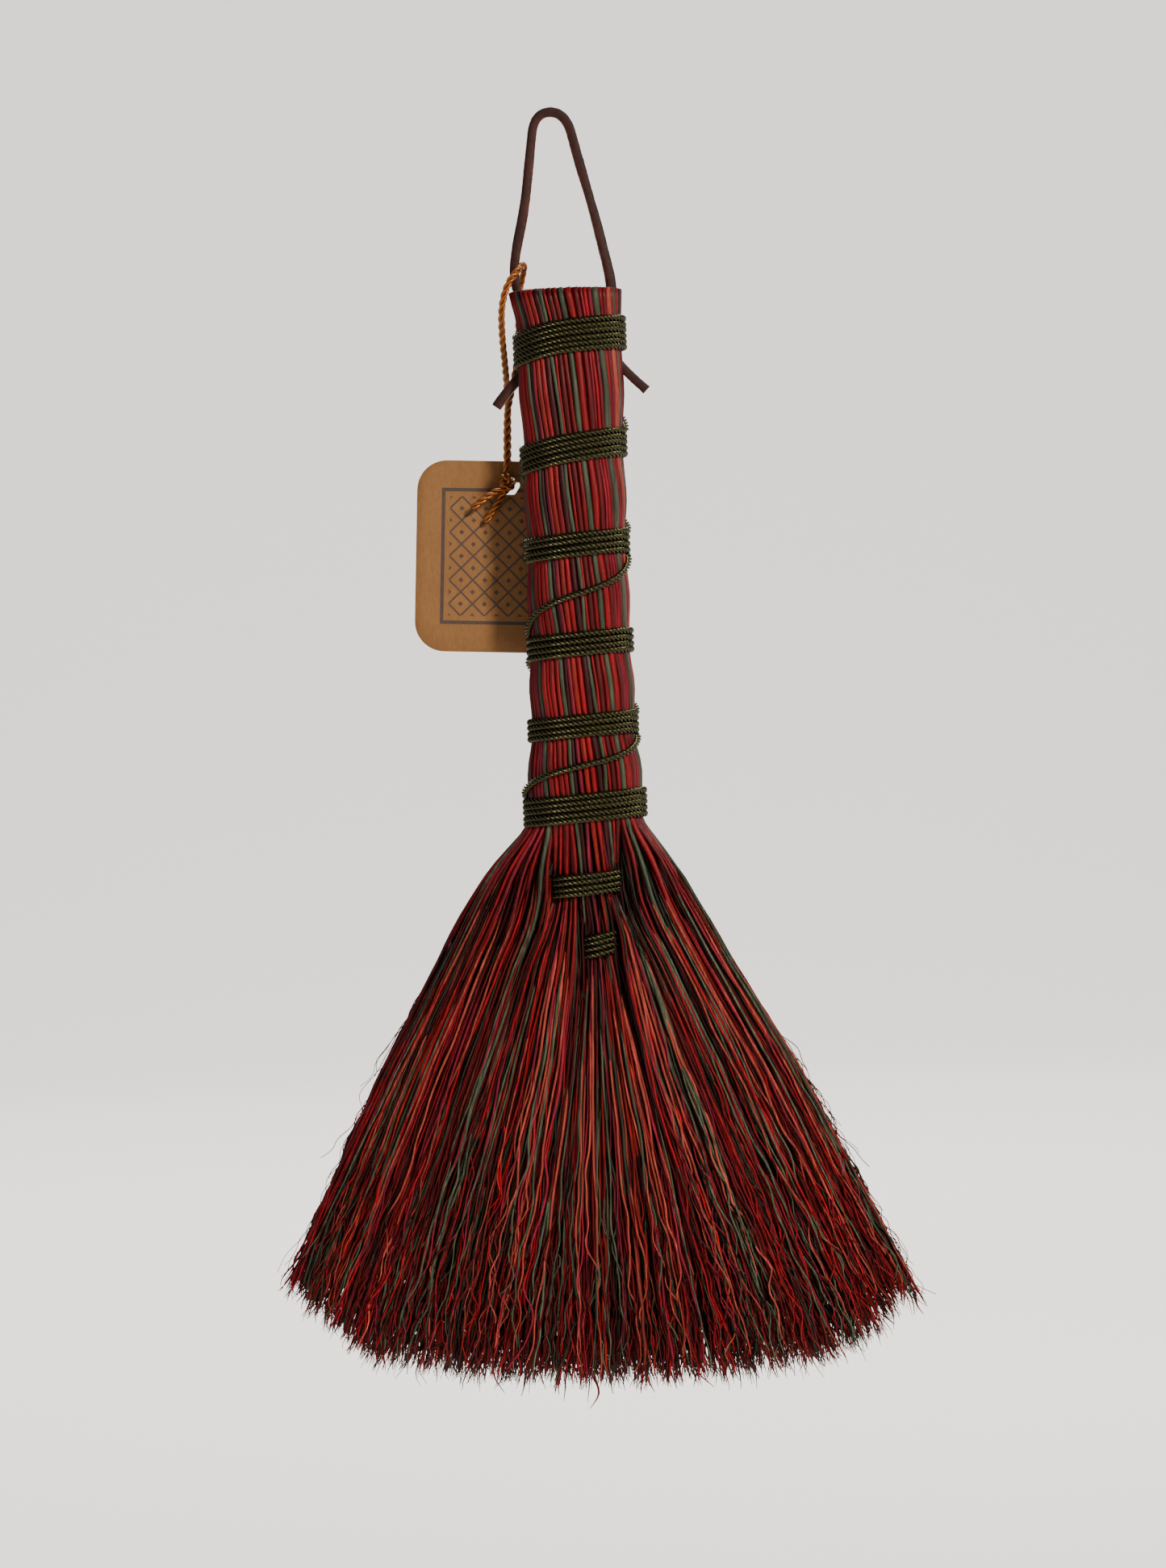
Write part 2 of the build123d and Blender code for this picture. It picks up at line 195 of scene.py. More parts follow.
def tube_uv(strands, rings, sides):
    """A cell of the map for each strand, with the way round it across and its length up."""
    used, margin = 0.8, 0.1
    cells = math.ceil(math.sqrt(strands))
    ring, side = np.meshgrid(np.arange(rings - 1), np.arange(sides), indexing="ij")
    across = np.stack([side, side + 1, side + 1, side], axis=-1).reshape(-1) / sides
    up = np.stack([ring, ring, ring + 1, ring + 1], axis=-1).reshape(-1) / (rings - 1)
    cell = np.arange(strands)
    corner = np.stack([cell % cells, cell // cells], axis=-1)
    inner = np.stack([across, up], axis=-1) * used + margin
    sides_uv = (corner[:, None] + inner[None]) / cells
    spin = np.arange(sides) / sides
    lower = np.stack([spin[::-1], np.zeros(sides)], axis=-1)
    upper = np.stack([spin, np.ones(sides)], axis=-1)
    ends = np.concatenate([lower, upper]) * used + margin
    ends_uv = (corner[:, None] + ends[None]) / cells
    return np.concatenate([sides_uv.reshape(-1, 2), ends_uv.reshape(-1, 2)])


def strand_mesh(name, lines, radii, sides, tint):
    """Round strands that run more or less up and down: lines (n, rings, 3), radii and tint for each ring."""
    along = tangents(lines)
    across = unit(np.cross(along, np.array([0.0, 1.0, 0.0])))
    out = np.cross(across, along)
    angle = circle(sides)[:, None]
    vertices = lines[:, :, None] + radii[:, :, None, None] * (
        np.cos(angle) * across[:, :, None] + np.sin(angle) * out[:, :, None]
    )
    strands, rings = lines.shape[:2]
    quads, caps = tube_faces(strands, rings, sides)
    colours = np.repeat(tint.reshape(-1, 3), sides, axis=0)
    return build_mesh(name, vertices.reshape(-1, 3), quads[:, ::-1], caps[:, ::-1], colours,
                      tube_uv(strands, rings, sides))


def carried_normals(line, first):
    """Directions square to a line, carried along it without twist."""
    along = tangents(line)
    normal = np.empty_like(line)
    last = np.asarray(first, float)
    for index, direction in enumerate(along):
        last = last - direction * (last @ direction)
        last = last / np.linalg.norm(last)
        normal[index] = last
    return normal


PLIES = 3
SIDES_PER_PLY = 8


def ply_profile():
    """The outline of round plies side by side, furthest out at 1, and how near each point is to a crown."""
    half_ply = math.pi / PLIES
    angle = circle(PLIES * SIDES_PER_PLY) + half_ply
    centre = 1 / (1 + math.sin(half_ply))
    ply = 1 - centre
    from_crown = (angle + half_ply) % (2 * half_ply) - half_ply
    aside = centre * np.sin(from_crown)
    reach = centre * np.cos(from_crown) + np.sqrt(np.maximum(ply ** 2 - aside ** 2, 0))
    return angle, reach, np.clip((reach - reach.min()) / (1 - reach.min()), 0, 1)


def twisted_mesh(name, line, normals, radius, pitch, light, dark, start=0.0, taper=0.0):
    """A cord of round plies that wind about the line, in its own colour on their crowns with a painted shade
    in the grooves between them.

    start is how much of the whole cord lies before this line, and taper how far the line's ends shrink.
    """
    along = tangents(line)
    normals = unit(normals - along * (normals * along).sum(-1, keepdims=True))
    other = np.cross(along, normals)
    distance = length_along(line)
    angle, reach, crown = ply_profile()
    turned = angle[None] + (2 * math.pi * (distance + start) / pitch)[:, None]
    to_end = np.minimum(distance, distance[-1] - distance)
    fade = 1 - taper * np.clip(1 - to_end / radius, 0, 1) ** 2
    vertices = line[:, None] + (radius * reach[None] * fade[:, None])[..., None] * (
        np.cos(turned)[..., None] * normals[:, None] + np.sin(turned)[..., None] * other[:, None]
    )
    quads, caps = tube_faces(1, len(line), len(angle))
    # Painted shade: the cord's colour darkens from the plies' crowns into the grooves between them.
    shade = dark + (light - dark) * (crown ** 1.4)[:, None]
    uneven = 1 + 0.12 * np.sin(distance / 5.3 + 1.0) + 0.08 * np.sin(distance / 1.7)
    colours = (shade[None] * uneven[:, None, None]).reshape(-1, 3)
    # The map's first axis goes once round the cord, and its second one is the distance along it.
    ring, side = np.meshgrid(np.arange(len(line) - 1), np.arange(len(angle)), indexing="ij")
    across = np.stack([side, side + 1, side + 1, side], axis=-1) / len(angle)
    up = np.stack([distance[ring], distance[ring], distance[ring + 1], distance[ring + 1]], axis=-1)
    filaments = np.concatenate([np.stack([across, up], axis=-1).reshape(-1, 2), np.zeros((caps.size, 2))])
    return build_mesh(name, vertices.reshape(-1, 3), quads, caps, colours, filaments, "filaments")


# ---- materials

class Nodes:
    """A material's nodes, made and linked in one call each."""

    def __init__(self, name):
        self.material = bpy.data.materials.new(name)
        self.material.use_nodes = True
        self.tree = self.material.node_tree
        self.tree.nodes.clear()
        output = self.new("OutputMaterial")
        self.shader = self.new("BsdfPrincipled")
        self.put(self.shader.outputs[0], output.inputs[0])

    def put(self, value, socket):
        if isinstance(value, bpy.types.NodeSocket):
            self.tree.links.new(value, socket)
        else:
            socket.default_value = value

    def enter(self, node, **values):
        """Values or links for the node's inputs, by their names."""
        for name, value in values.items():
            self.put(value, node.inputs[name.replace("_", " ")])

    def new(self, kind, **values):
        node = self.tree.nodes.new("ShaderNode" + kind)
        self.enter(node, **values)
        return node

    def set(self, **values):
        self.enter(self.shader, **values)

    def attribute(self, name):
        node = self.new("Attribute")
        node.attribute_name = name
        return node.outputs["Color"]

    def stretched(self, vector, scale, turn=(0, 0, 0)):
        return self.new("Mapping", Vector=vector, Scale=scale, Rotation=turn).outputs[0]

    def place(self, scale=(1, 1, 1), turn=(0, 0, 0)):
        """The place in the object, in metres."""
        return self.stretched(self.new("TexCoord").outputs["Object"], scale, turn)

    def map(self, name):
        """A map of the mesh."""
        node = self.new("UVMap")
        node.uv_map = name
        return node.outputs[0]

    def noise(self, vector, scale, detail=4.0, roughness=0.55, distortion=0.0):
        node = self.new("TexNoise", Vector=vector, Scale=scale, Detail=detail, Roughness=roughness,
                        Distortion=distortion)
        return node.outputs["Fac"]

    def ramp(self, value, *stops):
        """Colours from two stops, each a position with a grey or a colour."""
        node = self.new("ValToRGB")
        self.put(value, node.inputs[0])
        for element, (position, colour) in zip(node.color_ramp.elements, stops):
            element.position = position
            element.color = (*(np.ones(3) * colour), 1)
        return node.outputs[0]

    def spread(self, value, low, high, to_low, to_high):
        node = self.new("MapRange", Value=value, From_Min=low, From_Max=high, To_Min=to_low, To_Max=to_high)
        return node.outputs[0]

    def shade(self, colour, factor, pattern, dark, light):
        """The colour times a ramp over the pattern."""
        return self.mix(factor, colour, self.ramp(pattern, dark, light), "MULTIPLY")

    def mix(self, factor, first, second, way="MIX"):
        node = self.new("Mix")
        node.data_type = "RGBA"
        node.blend_type = way
        self.put(factor, node.inputs[0])
        self.put(first, node.inputs[6])
        self.put(second, node.inputs[7])
        return node.outputs[2]

    def math(self, way, first, second=0.0):
        node = self.new("Math")
        node.operation = way
        self.put(first, node.inputs[0])
        self.put(second, node.inputs[1])
        return node.outputs[0]

    def bump(self, height, strength, distance):
        node = self.new("Bump", Strength=strength, Distance=distance, Height=height)
        self.set(Normal=node.outputs[0])


SPECK = (0.02, 0.004, 0.004, 1)


def broomcorn(name, roughness, gloss):
    """Dyed stalks: the strand's own colour with streaks along it, dull patches, specks and fine grain."""
    nodes = Nodes(name)
    wide = nodes.noise(nodes.place(scale=(1, 1, 0.02)), 1100, 3.0, 0.6)
    fine = nodes.noise(nodes.place(scale=(1, 1, 0.03)), 3800, 4.0, 0.7)
    patches = nodes.noise(nodes.place(scale=(1, 1, 0.3)), 170, 3.0)
    specks = nodes.noise(nodes.place(scale=(1, 1, 0.25)), 2400, 2.0, 0.5)
    colour = nodes.shade(nodes.attribute("tint"), 0.8, wide, (0.34, 0.45), (0.66, 1.45))
    colour = nodes.shade(colour, 0.7, fine, (0.32, 0.5), (0.68, 1.4))
    colour = nodes.shade(colour, 0.5, patches, (0.35, 0.6), (0.65, 1.3))
    colour = nodes.mix(nodes.spread(specks, 0.70, 0.76, 0.0, 0.6), colour, SPECK)
    rough = nodes.spread(patches, 0.3, 0.7, roughness - 0.06, roughness + 0.12)
    nodes.set(Base_Color=colour, Roughness=rough, Specular_IOR_Level=gloss)
    nodes.bump(nodes.math("ADD", wide, fine), 0.45, 0.00025)
    return nodes.material


def cord_material(name, roughness, coat, gloss, shine):
    """Twisted cord: its plies' colour with the painted shade in their grooves, the silky filaments that run
    along each ply, and a satin gloss.
    """
    nodes = Nodes(name)
    filaments = nodes.noise(nodes.stretched(nodes.map("filaments"), (54, 0.22, 1)), 1.0, 4.0, 0.65)
    dust = nodes.noise(nodes.place(), 900, 3.0)
    colour = nodes.shade(nodes.attribute("tint"), 0.9, filaments, (0.32, 0.35), (0.68, 1.7))
    colour = nodes.shade(colour, 0.4, dust, (0.3, 0.7), (0.7, 1.3))
    rough = nodes.spread(filaments, 0.3, 0.7, roughness - 0.05, roughness + 0.15)
    nodes.set(Base_Color=colour, Roughness=rough, Specular_IOR_Level=shine, Specular_Tint=(*gloss, 1),
              Coat_Weight=coat, Coat_Roughness=0.22, Coat_IOR=1.7)
    nodes.bump(filaments, 0.4, 0.0001)
    return nodes.material


def leather(name):
    """Dull leather in the mesh's own colours, clouded and full of pores."""
    nodes = Nodes(name)
    pores = nodes.noise(nodes.place(), 2600, 4.0, 0.6)
    cloud = nodes.noise(nodes.place(), 220, 3.0)
    worn, clean = (0.6, 0.55, 0.5), (1.35, 1.3, 1.3)
    colour = nodes.shade(nodes.attribute("tint"), 0.8, cloud, (0.3, worn), (0.7, clean))
    nodes.set(Base_Color=colour, Roughness=nodes.spread(pores, 0.3, 0.7, 0.48, 0.72), Specular_IOR_Level=0.25)
    nodes.bump(pores, 0.5, 0.0002)
    return nodes.material


STALK = broomcorn("dyed stalk", 0.42, 0.22)
FIBRE = broomcorn("dyed fibre", 0.52, 0.18)
BINDING = cord_material("olive binding cord", 0.19, 0.04, (1.0, 0.94, 0.42), 0.62)
GOLD = cord_material("gold tag cord", 0.27, 0.1, (1.0, 0.62, 0.24), 0.9)
LEATHER = leather("lace leather")


def finish_piece(piece, material, nodes, body=None):
    piece.data.materials.append(material)
    if nodes:
        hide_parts(*nodes)
    if body:
        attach(piece, body)
    return piece


# ---- leather lace

LACE_WIDE = 3.0
LACE_THICK = 2.7
LACE_SIDES = 20
LACE_SQUARENESS = 0.45  # 1 gives an oval section and 0 a rectangular one
LACE_DARK = np.array((0.020, 0.0026, 0.0018))
LACE_LIGHT = np.array((0.090, 0.017, 0.0055))


def make_lace():
    """One strip from cut end to cut end, uneven in width and slightly twisted."""
    line = resample(spline_of([(x, LACE_Y, z) for x, z in LACE_ROUTE]), 0.6)
    along = tangents(line)
    wide = np.broadcast_to(np.array([0.0, 1.0, 0.0]), line.shape)
    thick = np.cross(wide, along)
    angle = circle(LACE_SIDES)
    flat = np.sign(np.cos(angle)) * np.abs(np.cos(angle)) ** LACE_SQUARENESS
    tall = np.sign(np.sin(angle)) * np.abs(np.sin(angle)) ** LACE_SQUARENESS
    distance = length_along(line)
    uneven = 1 + 0.05 * np.sin(distance / 7.0) + 0.03 * np.sin(distance / 2.9 + 2)
    lean = 0.12 * np.sin(distance / 19.0 + 0.6)
    wide_turned = wide * np.cos(lean)[:, None] + thick * np.sin(lean)[:, None]
    thick_turned = thick * np.cos(lean)[:, None] - wide * np.sin(lean)[:, None]
    rough = 1 + 0.02 * rng.standard_normal((len(line), LACE_SIDES))
    reach = rough * uneven[:, None]
    vertices = line[:, None] + (
        (reach * flat[None] * LACE_WIDE / 2)[..., None] * wide_turned[:, None]
        + (reach * tall[None] * LACE_THICK / 2)[..., None] * thick_turned[:, None]
    )
    quads, caps = tube_faces(1, len(line), LACE_SIDES)
    # The side that faces into the loop is lighter and speckled.
    inner = np.clip(tall, 0, 1) ** 2
    speckle = np.clip(rng.normal(0.55, 0.35, (len(line), LACE_SIDES)), 0, 1)
    share = (inner[None] * speckle)[..., None]
    colours = (LACE_DARK + (LACE_LIGHT - LACE_DARK) * share).reshape(-1, 3)
    piece = build_mesh("leather_lace", vertices.reshape(-1, 3), quads, caps, colours)
    finish_piece(piece, LEATHER, ["lace_loop", "lace_end_left", "lace_end_right"])
    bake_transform(piece)


make_lace()

# ---- tag cord, knot and tails

TAG_CORD = 2.1
# The gold cord's own colour on the plies' crowns, and the painted shade in the grooves between them.
GOLD_LIGHT = np.array((0.25, 0.054, 0.005))
GOLD_GROOVE_SHADE = np.array((0.010, 0.0018, 0.0008))
GOLD_PITCH = 7.0
CORD_FRONT = (0.3, -0.9, 0.1)  # about the way the first ply faces
TAIL_TAPER = 0.35
KNOT_CENTRE = np.array((-16.3, 11.4, -101.8))


def gold_cord(name, line, taper=0.0, radius=TAG_CORD / 2):
    normals = carried_normals(line, CORD_FRONT)
    return twisted_mesh(name, line, normals, radius, GOLD_PITCH, GOLD_LIGHT, GOLD_GROOVE_SHADE, taper=taper)


def overhand_knot():
    """The cord's crossing turns, drawn tight."""
    turn = np.linspace(0, 2 * math.pi, 160, endpoint=False)
    ring = 1.05 + 0.62 * np.cos(3 * turn)
    knot = np.stack([ring * np.cos(2 * turn) * 1.05, np.sin(3 * turn), ring * np.sin(2 * turn) * 1.3], axis=1)
    return KNOT_CENTRE + np.concatenate([knot, knot[:2]])


def make_tag_cord():
    """The cord that goes over the lace and back, its knot and its tails; gives its line and the pieces."""
    line = resample(spline_of(TAG_CORD_ROUTE), 0.5)
    cord = finish_piece(gold_cord("twisted_tag_cord", line), GOLD, ["tag_cord"])
    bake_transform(cord)
    knot = gold_cord("tag_knot", overhand_knot(), radius=1.0)
    upper = gold_cord("tag_cord_tail_upper", resample(spline_of(TAIL_UPPER), 0.4), TAIL_TAPER)
    lower = gold_cord("tag_cord_tail_lower", resample(spline_of(TAIL_LOWER), 0.4), TAIL_TAPER)
    finish_piece(knot, GOLD, ["tag_cord_knot"], "tag")
    finish_piece(upper, GOLD, ["tag_cord_tails"], "tag")
    finish_piece(lower, GOLD, [], "tag")
    return line, cord, [knot, upper, lower]


tag_line, tag_cord_piece, tag_cord_ends = make_tag_cord()

# ---- card tag

TAG_WIDTH = 53.0
TAG_HEIGHT = 54.5
TAG_THICK = 0.8
TAG_CORNER = 8.5
TAG_BEVEL = 0.12
TAG_HOLE = 2.7  # radius
TAG_HOLE_BELOW_TOP = 7.0
TAG_LEAN = math.radians(3.0)
TAG_FRONT = np.array((-16.4, 14.4, -122.5))
CORNER_STEPS = 12
CARD_BANDS = 9  # from the hole's rim to the card's edge

TRELLIS_SPACING = 6.8
TRELLIS_REACH = 17.0
FRAME_INSIDE, FRAME_OUTSIDE = 18.4, 19.4
INK = (0.035, 0.033, 0.036, 1)
FLECK = (0.17, 0.10, 0.06, 1)
NO_PRINT = 90.0  # a place on the print's map that is outside its frame


def rounded_outline(width, height, corner, shrink=0.0):
    """Points round a rectangle with round corners, the same number for any shrink."""
    points = []
    for number, (side_x, side_z) in enumerate(((1, 1), (-1, 1), (-1, -1), (1, -1))):
        for step in range(CORNER_STEPS):
            angle = math.radians(90 * (number + step / (CORNER_STEPS - 1)))
            points.append((side_x * (width / 2 - corner) + (corner - shrink) * math.cos(angle),
                           side_z * (height / 2 - corner) + (corner - shrink) * math.sin(angle)))
    return np.array(points)


def card_material():
    """Kraft card with paper fibres, and a plain printed trellis in a thin frame."""
    nodes = Nodes("kraft card")
    fibres = nodes.noise(nodes.place(scale=(1, 1, 0.3), turn=(0, 0.5, 0)), 1500, 6.0, 0.7, 1.2)
    flecks = nodes.noise(nodes.place(scale=(0.4, 1, 1), turn=(0, -0.4, 0)), 2600, 4.0, 0.6, 0.8)
    cloud = nodes.noise(nodes.place(), 60, 3.0)
    colour = nodes.ramp(fibres, (0.25, (0.165, 0.074, 0.025)), (0.75, (0.262, 0.128, 0.047)))
    colour = nodes.shade(colour, 0.5, cloud, (0.3, (0.85, 0.84, 0.82)), (0.7, 1.1))
    colour = nodes.mix(nodes.spread(flecks, 0.66, 0.72, 0.0, 0.5), colour, FLECK)
    across, up, _ = nodes.new("SeparateXYZ", Vector=nodes.map("card")).outputs
    rules = []
    for way in ("ADD", "SUBTRACT"):
        slope = nodes.math("DIVIDE", nodes.math(way, across, up), TRELLIS_SPACING)
        rules.append(nodes.math("ABSOLUTE", nodes.math("SUBTRACT", nodes.math("FRACT", slope), 0.5)))
    trellis = nodes.spread(nodes.math("MINIMUM", rules[0], rules[1]), 0.045, 0.06, 1.0, 0.0)
    away = nodes.math("MAXIMUM", nodes.math("SUBTRACT", 0.5, rules[0]), nodes.math("SUBTRACT", 0.5, rules[1]))
    lozenge = nodes.spread(away, 0.10, 0.12, 1.0, 0.0)
    edge = nodes.math("MAXIMUM", nodes.math("ABSOLUTE", across), nodes.math("ABSOLUTE", up))
    inside = nodes.math("LESS_THAN", edge, TRELLIS_REACH)
    ornament = nodes.math("MULTIPLY", nodes.math("MAXIMUM", trellis, lozenge), inside)
    line = nodes.math("MULTIPLY", nodes.math("GREATER_THAN", edge, FRAME_INSIDE),
                      nodes.math("LESS_THAN", edge, FRAME_OUTSIDE))
    soaked = nodes.spread(fibres, 0.3, 0.6, 0.75, 0.92)
    ink = nodes.math("MULTIPLY", nodes.math("MAXIMUM", ornament, line), soaked)
    colour = nodes.mix(ink, colour, INK)
    nodes.set(Base_Color=colour, Roughness=nodes.spread(fibres, 0.3, 0.7, 0.72, 0.9), Specular_IOR_Level=0.3)
    nodes.bump(fibres, 0.35, 0.00008)
    return nodes.material


def make_tag():
    """The card: front and back sheets with a hole, softened edges and a slight bow."""
    count = 4 * CORNER_STEPS
    hole_place = np.array((0.0, TAG_HEIGHT / 2 - TAG_HOLE_BELOW_TOP))
    outer = rounded_outline(TAG_WIDTH, TAG_HEIGHT, TAG_CORNER)
    inset = rounded_outline(TAG_WIDTH, TAG_HEIGHT, TAG_CORNER, TAG_BEVEL)
    direction = np.arctan2(inset[:, 1] - hole_place[1], inset[:, 0] - hole_place[0])
    round_hole = np.stack([np.cos(direction), np.sin(direction)], axis=1)
    hole = hole_place + TAG_HOLE * round_hole
    rim = hole_place + (TAG_HOLE + TAG_BEVEL) * round_hole
    bands = [rim + (inset - rim) * band / CARD_BANDS for band in range(1, CARD_BANDS)]
    profile = [(hole, TAG_BEVEL), (rim, 0.0)]
    profile += [(band, 0.0) for band in bands]
    profile += [(inset, 0.0), (outer, TAG_BEVEL), (outer, TAG_THICK - TAG_BEVEL), (inset, TAG_THICK)]
    profile += [(band, TAG_THICK) for band in reversed(bands)]
    profile += [(rim, TAG_THICK), (hole, TAG_THICK - TAG_BEVEL)]
    flat = np.concatenate([np.column_stack([ring, np.full(count, depth)]) for ring, depth in profile])
    bow = 0.5 * ((flat[:, 0] / (TAG_WIDTH / 2)) ** 2 - 0.3)
    right = np.array((math.cos(TAG_LEAN), 0, -math.sin(TAG_LEAN)))
    up = np.array((math.sin(TAG_LEAN), 0, math.cos(TAG_LEAN)))
    back = np.array((0.0, 1.0, 0.0))
    vertices = TAG_FRONT + flat[:, :1] * right + flat[:, 1:2] * up + (flat[:, 2:3] + bow[:, None]) * back
    # A tube whose last ring is its first one again.
    quads = tube_faces(1, len(profile) + 1, count)[0] % len(flat)
    piece = build_mesh("card_tag", vertices, quads, np.empty((0, 4), int))
    front = flat[:, 2] < TAG_THICK / 2
    print_at = np.where(front[:, None], flat[:, :2], NO_PRINT)
    corner = np.zeros(len(piece.data.loops), np.int32)
    piece.data.loops.foreach_get("vertex_index", corner)
    fill(piece.data.uv_layers.new(name="card").data, "uv", print_at[corner])
    return finish_piece(piece, card_material(), ["hang_tag"], "tag")


tag_piece = make_tag()

# ---- the handle's form

CORD = 1.5
CORD_REST = CORD / 2 + 0.1  # from the stalks' surface to the middle of a cord that lies on them
CORD_LOOK = 2.0  # over the crowns of its plies, which sink between those of the turn beside it
HANDLE_X = 3.0
HANDLE_TOP = -49.0
HANDLE_DEPTH = 24.0
WAIST_DEPTH = 21.6

# The middle's x and z, the stalks' width and depth inside the tie, the rise of one turn, the angle where the
# winding starts and how far it goes, the tilt up to the right and how far the left side hangs.
Tie = namedtuple("Tie", "x z width depth pitch start sweep tilt droop")
TIES = [
    Tie(HANDLE_X, -62.4, 28.7, WAIST_DEPTH, 1.6, 90, 2100, 3.0, 1.8),
    Tie(HANDLE_X, -93.8, 27.1, WAIST_DEPTH, 1.62, 0, 1620, 5.5, 0.9),
    Tie(HANDLE_X, -121.3, 26.7, WAIST_DEPTH, 1.75, 0, 1440, 2.8, 0.0),
    Tie(HANDLE_X, -148.3, 26.9, WAIST_DEPTH, 1.75, 180, 1440, 2.0, 0.0),
    Tie(HANDLE_X, -172.0, 28.1, WAIST_DEPTH, 1.62, 0, 1440, 2.2, 0.0),
    Tie(HANDLE_X - 0.2, -194.3, 31.7, WAIST_DEPTH, 1.62, 180, 1890, 2.4, 0.0),
    Tie(2.1, -216.0, 20.6, 18.0, 1.62, 90, 1440, 1.4, 0.0),
    Tie(5.4, -233.0, 10.5, 13.0, 1.62, 90, 1440, 3.5, 0.0),
]
HANDLE_TIES = TIES[:6]
BULGES = [30.4, 30.0, 29.8, 30.4, 33.0]  # the handle's width half way from each tie to the next
BITE = 0.3  # how far the cord presses into the stalks
HANDLE_BLUR = 2.2


def handle_profile():
    """Heights down the handle with the stalks' middle, half width and half depth at each."""
    rows = [(HANDLE_TOP + 2, 2.2, 16.2, 12.1), (HANDLE_TOP, 2.2, 16.1, 12.0)]
    for number, tie in enumerate(HANDLE_TIES):
        half = (tie.pitch * tie.sweep / 360 + CORD) / 2 - 1.2
        pressed = (tie.x, tie.width / 2 + BITE, tie.depth / 2 + BITE)
        rows += [(tie.z + half, *pressed), (tie.z - half, *pressed)]
        if number < len(BULGES):
            between = (tie.z + TIES[number + 1].z) / 2
            rows.append((between, tie.x, BULGES[number] / 2 - 0.2, HANDLE_DEPTH / 2 - 0.3))
    return np.array(rows)


PROFILE = handle_profile()


def smooth_table(heights, values, z, blur):
    """Values at z from a table by height, with its corners rounded over about blur millimetres."""
    order = np.argsort(heights)
    heights, values = np.asarray(heights)[order], np.asarray(values)[order]
    shifts = np.linspace(-1, 1, 7) * blur
    return sum(np.interp(z + shift, heights, values) for shift in shifts) / len(shifts)


def handle_section(z):
    """The stalks' middle, half width and half depth at height z of the handle."""
    return [smooth_table(PROFILE[:, 0], PROFILE[:, column], z, HANDLE_BLUR) for column in (1, 2, 3)]


# ---- stalks and fibres

PALETTE = np.array([
    (0.180, 0.0014, 0.0050),  # crimson
    (0.078, 0.0007, 0.0026),  # deep red
    (0.145, 0.0050, 0.0170),  # magenta pink
    (0.235, 0.0370, 0.0250),  # salmon
    (0.165, 0.0060, 0.0040),  # orange red
    (0.027, 0.0006, 0.0020),  # burgundy
    (0.044, 0.0560, 0.0340),  # sage green
    (0.013, 0.0200, 0.0140),  # dark green
])
CRIMSON, MAGENTA, SALMON, SAGE = 0, 2, 3, 6  # entries of the palette
# How often each entry comes up.
STALK_SHARES = np.array([0.32, 0.27, 0.14, 0.07, 0.06, 0.12, 0.01, 0.01])
FIBRE_SHARES = np.array([0.30, 0.20, 0.09, 0.12, 0.06, 0.09, 0.09, 0.05])
FAN_TOP = -198.0
FAN_EDGE = np.array([(-91, -328), (-80, -337), (-62, -348.5), (-30, -354), (10, -357), (40, -355.5),
                     (64, -352.5), (80, -346), (92, -336)])

# Each bundle's way below tie 6: heights, its left and right edge at each height, and its half depth.
LEVELS = [-198, -212, -220, -229, -237, -268, -301, -333, -362]
BUNDLES = {
    "outer_bundle_left": ([-12.6, -25.5, -31.0, -36.3, -40.5, -57.5, -73.5, -88.5, -101],
                          [-6.3, -8.6, -8.9, -11.0, -14.8, -25.5, -36.5, -46.5, -54]),
    "flank_bundle_left": ([-6.0, -7.5, -7.5, -11.5, -15.8, -27.0, -38.0, -48.0, -55],
                          [-0.5, -0.2, -0.6, -0.8, -1.0, -4.5, -10.0, -15.5, -20]),
    "centre_bundle": ([-0.5, -0.2, 0.0, 0.3, 0.3, -5.5, -11.5, -17.0, -21],
                      [6.5, 7.6, 8.8, 10.5, 10.5, 18.0, 26.0, 33.0, 38]),
    "flank_bundle_right": ([6.8, 8.2, 9.0, 11.6, 11.8, 17.0, 25.0, 32.0, 37],
                           [12.0, 11.5, 11.5, 16.8, 21.5, 33.0, 45.5, 57.5, 66]),
    "outer_bundle_right": ([12.3, 12.9, 13.2, 16.0, 20.0, 31.5, 44.0, 56.0, 65],
                           [18.6, 28.0, 32.5, 37.5, 41.5, 59.5, 75.5, 90.5, 103]),
}
DEPTHS = {
    "outer": [10.8, 11.8, 12.2, 12.4, 12.4, 12.0, 11.0, 10.0, 9.4],
    "flank": [10.8, 9.2, 9.0, 10.4, 11.0, 11.2, 10.8, 10.0, 9.4],
    "centre": [10.8, 9.2, 8.6, 6.6, 6.6, 10.0, 10.4, 10.0, 9.4],
}
FAN_BLUR = 2.5

# The section that each kind of bundle fills together with its neighbours: middle x and half width.
DOMES = {
    "outer": ([3, 2, 2, 1.2, 1.2, 1.2, 1.2, 1.2, 1.2], [16, 31, 37, 40, 43.5, 62, 78, 93, 105]),
    "flank": ([3, 2, 2, 2.2, 2.2, 1.2, 1.2, 1.2, 1.2], [16, 9.8, 9.8, 17, 26, 50, 78, 93, 105]),
    "centre": ([3, 2, 2, 5.4, 5.4, 5, 3, 1.2, 1.2], [16, 9.8, 9.8, 5.4, 5.4, 17, 60, 93, 105]),
}


def bundle_place(name, p, q, z):
    """Where a strand at (p, q) in a bundle's unit square passes at height z."""
    kind = name.split("_")[0]
    left, right = BUNDLES[name]
    middles, reaches = DOMES[kind]
    low, high, depth, middle, reach = (
        smooth_table(LEVELS, values, z, FAN_BLUR) for values in (left, right, DEPTHS[kind], middles, reaches)
    )
    x = (low + high) / 2 + (high - low) / 2 * p
    dome = np.sqrt(np.clip(1 - ((x - middle) / reach) ** 2, 0.03, 1))
    return x, depth * q * dome


